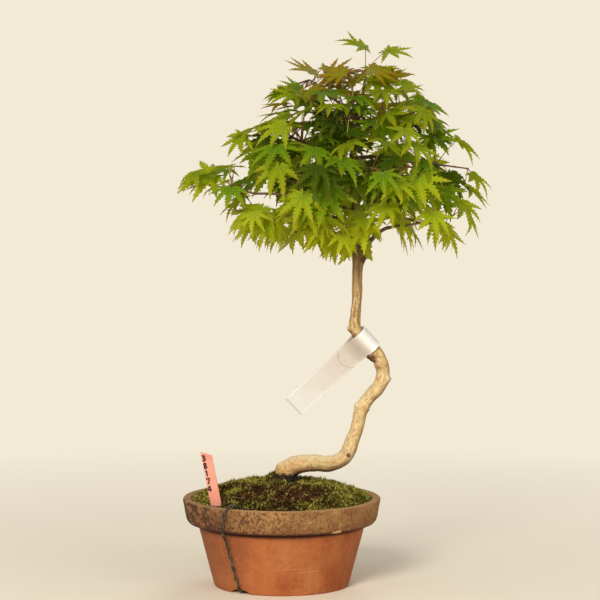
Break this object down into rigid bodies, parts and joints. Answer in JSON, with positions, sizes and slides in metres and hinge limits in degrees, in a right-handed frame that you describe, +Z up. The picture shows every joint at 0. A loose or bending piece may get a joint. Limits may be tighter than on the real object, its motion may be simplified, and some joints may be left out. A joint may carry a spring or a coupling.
{
  "type": "potted japanese maple",
  "caption": "Young Japanese maple in a shallow moss-topped clay pot: a winding pale trunk rises to a domed crown of lobed green leaves, with a plant label, a strip tag and a wire.",
  "frame": {"origin": "centre of the pot's flat underside, on the surface that the pot stands on", "axes": "+Z up the plant; +X to the right and +Y away from the viewer as the reference picture shows it"},
  "size_m": [0.3352, 0.2985, 0.5811],
  "materials": {
    "terracotta": "fired clay, matt and porous, with a weathered brown rim band",
    "soil": "damp gritty potting soil",
    "moss": "short dense moss, dark green with brown tips",
    "label": "smooth satin",
    "wire": "dark anodised, dull",
    "bark": "pale tan bark with fine brown flecks and rings",
    "young_bark": "smooth reddish-brown bark",
    "strip": "smooth coated paper, slightly glossy",
    "leaf": "soft leaf with pale veins, slight sheen",
    "young_leaf": "soft young leaf, olive to bronze"
  },
  "bodies": {
    "root": {"pot": "terracotta", "soil": "soil", "moss": "moss", "plant_label": "label", "wire_left": "wire", "wire_right": "wire", "trunk_run": "bark", "trunk_rise": "bark", "trunk_stem": "bark", "strip_tag": "strip", "bough_left_sprig": "young_bark", "bough_upper_front": "young_bark", "bough_upper_right": "young_bark", "bough_upper_back": "young_bark", "bough_upper_left": "young_bark", "bough_front_left": "young_bark", "bough_front_right": "young_bark", "bough_right": "young_bark", "bough_back_right": "young_bark", "bough_back_left": "young_bark", "bough_left_arm": "young_bark", "bough_lower_left": "young_bark", "bough_lower_front": "young_bark", "bough_lower_right": "young_bark", "bough_lower_back_right": "young_bark", "bough_lower_back_left": "young_bark", "leaves_top_sprig": "young_leaf", "leaves_left_sprig": "young_leaf", "leaves_upper_front": "leaf", "leaves_upper_right": "young_leaf", "leaves_upper_back": "leaf", "leaves_upper_left": "leaf", "leaves_front_left": "leaf", "leaves_front_right": "leaf", "leaves_right": "leaf", "leaves_back_right": "leaf", "leaves_back_left": "leaf", "leaves_left_arm": "leaf", "leaves_lower_left": "leaf", "leaves_lower_front": "leaf", "leaves_lower_right": "leaf", "leaves_lower_back_right": "leaf", "leaves_lower_back_left": "leaf"}
  },
  "joints": []
}
